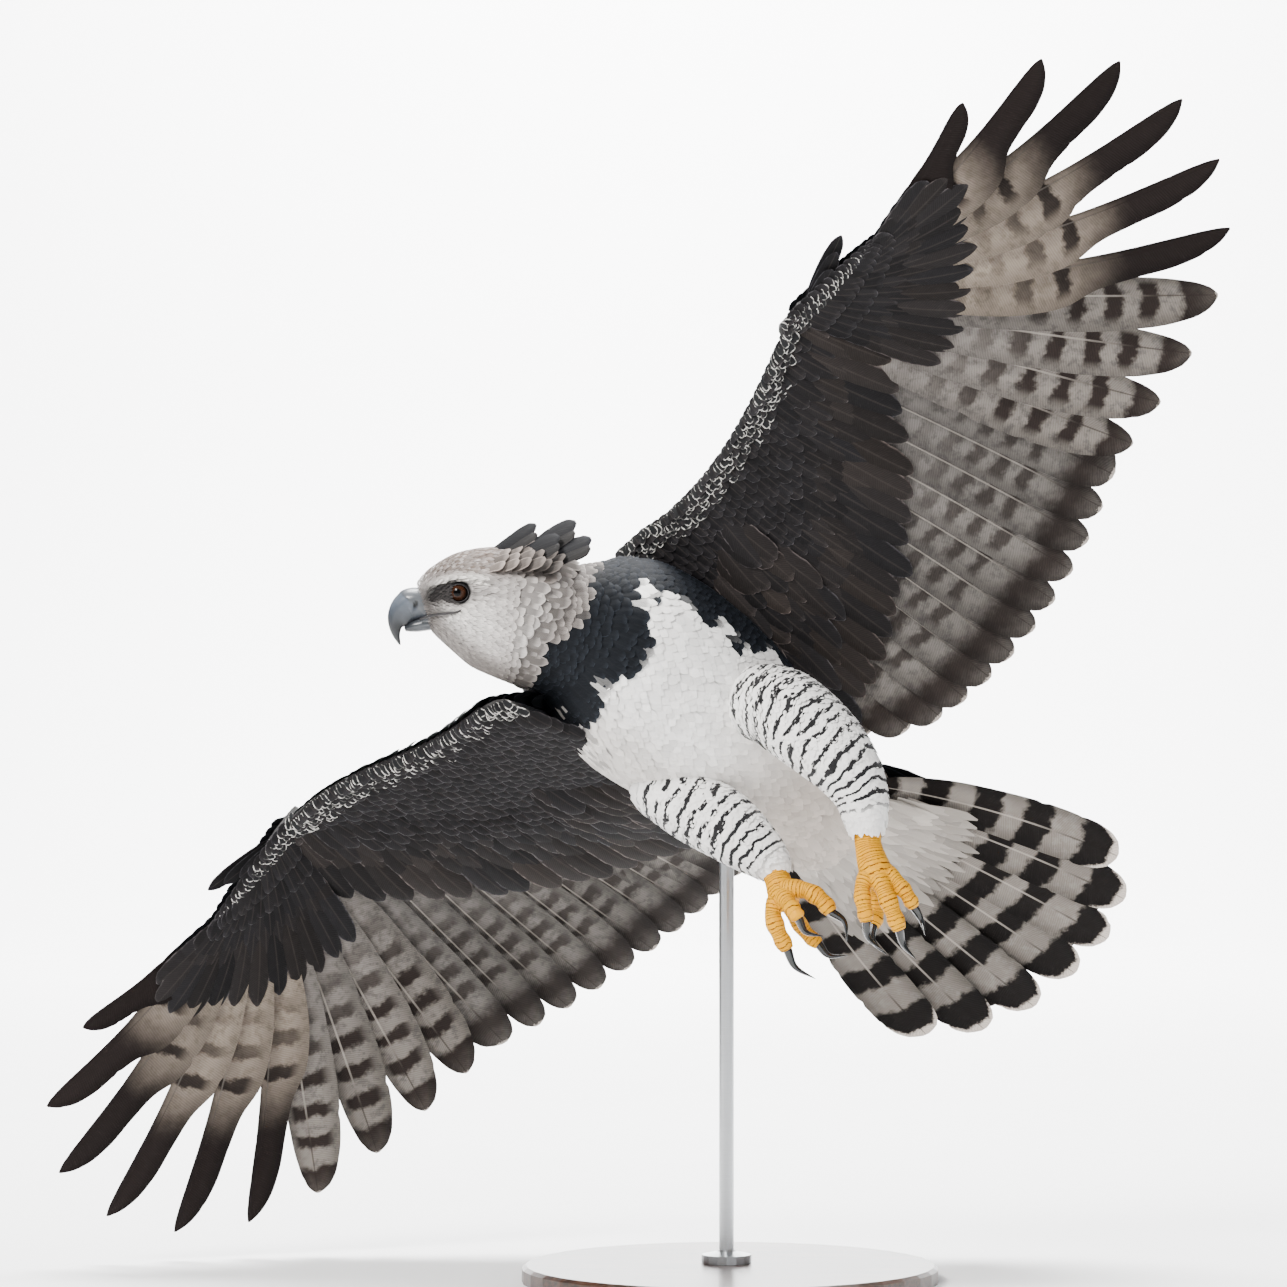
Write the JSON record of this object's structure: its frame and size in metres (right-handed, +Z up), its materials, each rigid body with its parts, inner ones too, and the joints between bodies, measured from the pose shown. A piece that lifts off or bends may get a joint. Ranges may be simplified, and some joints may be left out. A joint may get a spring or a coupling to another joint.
{
  "type": "harpy eagle in flight, museum model on a stand",
  "caption": "A life-size harpy eagle banking in flight with spread wings, fanned tail and lowered feet, as a still museum model on a round base with one upright rod",
  "frame": {"origin": "centre of the underside of the round base", "axes": "+Z up, square to the floor; the bird flies and looks towards -X, and its belly and both underwings face -Y"},
  "size_m": [1.3992, 0.7247, 1.4247],
  "materials": {
    "grey_feather": "soft matte feathers, pale grey",
    "white_feather": "soft matte feathers, white",
    "black_feather": "soft matte feathers, blue-black",
    "wing_feather": "barred grey and dark brown feathers, faint sheen",
    "tail_feather": "barred grey and near-black feathers, faint sheen",
    "horn": "slate-grey horn, satin",
    "scaled_skin": "yellow scaled skin, satin",
    "claw": "black horn, glossy",
    "eye": "wet, orange-brown iris",
    "stand_wood": "dark stained wood, satin lacquer",
    "stand_metal": "brushed"
  },
  "bodies": {
    "root": {"torso": "white_feather", "neck": "black_feather", "head": "grey_feather", "eye_left": "eye", "eye_right": "eye", "bill_upper": "horn", "bill_lower": "horn", "tail": "tail_feather", "wing_left_hand": "wing_feather", "wing_left_arm": "wing_feather", "thigh_left": "white_feather", "foot_left": "scaled_skin", "claw_left_1": "claw", "claw_left_2": "claw", "claw_left_3": "claw", "claw_left_4": "claw", "wing_right_hand": "wing_feather", "wing_right_arm": "wing_feather", "thigh_right": "white_feather", "foot_right": "scaled_skin", "claw_right_1": "claw", "claw_right_2": "claw", "claw_right_3": "claw", "claw_right_4": "claw", "stand_base": "stand_wood", "stand_rod": "stand_metal"}
  },
  "joints": []
}
